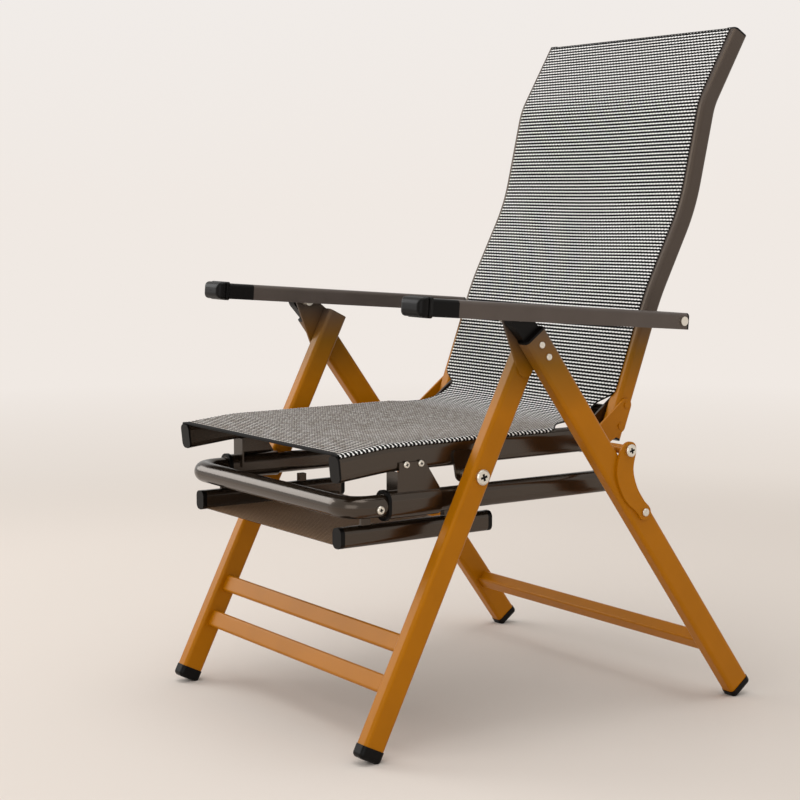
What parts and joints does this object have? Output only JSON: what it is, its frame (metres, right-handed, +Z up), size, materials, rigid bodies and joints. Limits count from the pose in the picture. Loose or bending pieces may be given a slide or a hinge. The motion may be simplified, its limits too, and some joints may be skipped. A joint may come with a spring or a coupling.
{
  "type": "folding reclining chair",
  "caption": "Folding recliner with crossed tube legs, a curved woven back, channel armrests on a toothed rack and a sliding footrest under the seat.",
  "frame": {"origin": "on the floor, in the middle plane and at the middle of the chair's depth", "axes": "+Z up, the sitter faces -Y, +X is the sitter's left"},
  "size_m": [0.642, 0.7716, 1.0524],
  "materials": {
    "leg_paint": "glossy orange-brown baked paint",
    "arm_paint": "satin dark grey-brown baked paint",
    "frame_paint": "glossy black-brown baked paint",
    "black_plastic": "moulded black plastic",
    "bolt_metal": "nickel plated",
    "seat_fabric": "woven grey-brown polyester",
    "back_fabric": "woven black and white polyester",
    "mesh_fabric": "open dark mesh"
  },
  "bodies": {
    "rear_frame": {"rear_leg_left": "leg_paint", "rear_leg_right": "leg_paint", "rear_feet": "black_plastic", "rear_crossbar": "leg_paint", "rear_knuckle_left": "black_plastic", "rear_knuckle_right": "black_plastic", "leg_rivets": "bolt_metal", "hinge_pins": "bolt_metal"},
    "front_frame": {"front_leg_left": "leg_paint", "front_leg_right": "leg_paint", "front_feet": "black_plastic", "front_crossbar_upper": "leg_paint", "front_crossbar_lower": "leg_paint", "hinge_plates": "leg_paint", "seat_pivot_bolts": "bolt_metal"},
    "seat": {"seat_rail_left": "frame_paint", "seat_rail_right": "frame_paint", "seat_rail_caps": "black_plastic", "seat_front_tube": "frame_paint", "seat_rear_tube": "frame_paint", "seat_pivot_brackets": "frame_paint", "slide_bracket_left": "frame_paint", "slide_bracket_right": "frame_paint", "slide_sleeve_left": "frame_paint", "slide_sleeve_right": "frame_paint", "sleeve_collars": "black_plastic", "bracket_rivets": "bolt_metal", "seat_sling": "seat_fabric"},
    "left_link": {"link_left": "leg_paint", "link_bolt_left": "bolt_metal"},
    "right_link": {"link_right": "leg_paint", "link_bolt_right": "bolt_metal"},
    "back_bolts": {"back_pivot_bolts": "bolt_metal", "sling_bend": "seat_fabric"},
    "back": {"back_rail_left": "arm_paint", "back_rail_right": "arm_paint", "back_top_tube": "arm_paint", "back_lower_tube": "frame_paint", "back_lugs": "frame_paint", "lug_rivets": "bolt_metal", "back_rail_caps": "black_plastic", "back_sling": "back_fabric"},
    "arm_screws": {"arm_bolts": "bolt_metal"},
    "left_arm": {"armrest_left": "arm_paint", "grip_left": "black_plastic", "rack_left": "black_plastic", "arm_end_cap_left": "black_plastic"},
    "right_arm": {"armrest_right": "arm_paint", "grip_right": "black_plastic", "rack_right": "black_plastic", "arm_end_cap_right": "black_plastic"},
    "slide": {"footrest_hoop": "frame_paint", "slide_tube_left": "frame_paint", "slide_tube_right": "frame_paint", "hoop_screws": "bolt_metal"},
    "footrest_panel": {"footrest_rail_left": "frame_paint", "footrest_rail_right": "frame_paint", "footrest_rail_caps": "black_plastic", "footrest_mesh": "mesh_fabric", "footrest_lugs": "frame_paint"}
  },
  "joints": [
    {"name": "fold", "type": "hinge", "parent": "rear_frame", "child": "front_frame", "pos_m": [0, -0.125, 0.614], "axis": [1, 0, 0], "range_deg": [0, 51]},
    {"name": "seat_fold", "type": "hinge", "parent": "front_frame", "child": "seat", "pos_m": [0, -0.17329, 0.3885], "axis": [1, 0, 0], "range_deg": [-101, 0]},
    {"name": "left_link_fold", "type": "hinge", "parent": "rear_frame", "child": "left_link", "pos_m": [0, 0.105, 0.316], "axis": [1, 0, 0], "range_deg": [-140.5, 0]},
    {"name": "right_link_fold", "type": "hinge", "parent": "rear_frame", "child": "right_link", "pos_m": [0, 0.105, 0.316], "axis": [1, 0, 0], "range_deg": [-140.5, 0]},
    {"name": "back_fold", "type": "hinge", "parent": "seat", "child": "back_bolts", "pos_m": [0, 0.073, 0.412], "axis": [1, 0, 0], "range_deg": [0, 88], "deforming": ["sling_bend"]},
    {"name": "recline", "type": "hinge", "parent": "back_bolts", "child": "back", "pos_m": [0, 0.073, 0.412], "axis": [-1, 0, 0], "range_deg": [0, 28]},
    {"name": "arm_fold", "type": "hinge", "parent": "back", "child": "arm_screws", "pos_m": [0, 0.186, 0.599], "axis": [1, 0, 0], "range_deg": [-94, 0]},
    {"name": "left_arm_recline", "type": "hinge", "parent": "arm_screws", "child": "left_arm", "pos_m": [0, 0.186, 0.599], "axis": [-1, 0, 0], "range_deg": [-19, 0]},
    {"name": "right_arm_recline", "type": "hinge", "parent": "arm_screws", "child": "right_arm", "pos_m": [0, 0.186, 0.599], "axis": [-1, 0, 0], "range_deg": [-19, 0]},
    {"name": "footrest_slide", "type": "slide", "parent": "seat", "child": "slide", "axis": [0, -1, 0], "range_m": [0, 0.285]},
    {"name": "footrest_tilt", "type": "hinge", "parent": "slide", "child": "footrest_panel", "pos_m": [0, -0.3225, 0.35], "axis": [1, 0, 0], "range_deg": [-12, 8]}
  ],
  "couplings": [
    {"joint": "seat_fold", "follows": "fold", "ratio": -1.98},
    {"joint": "left_link_fold", "follows": "fold", "ratio": -2.753},
    {"joint": "right_link_fold", "follows": "fold", "ratio": -2.753},
    {"joint": "back_fold", "follows": "fold", "ratio": 1.725},
    {"joint": "arm_fold", "follows": "fold", "ratio": -1.843},
    {"joint": "left_arm_recline", "follows": "recline", "ratio": -0.63},
    {"joint": "right_arm_recline", "follows": "recline", "ratio": -0.63}
  ]
}
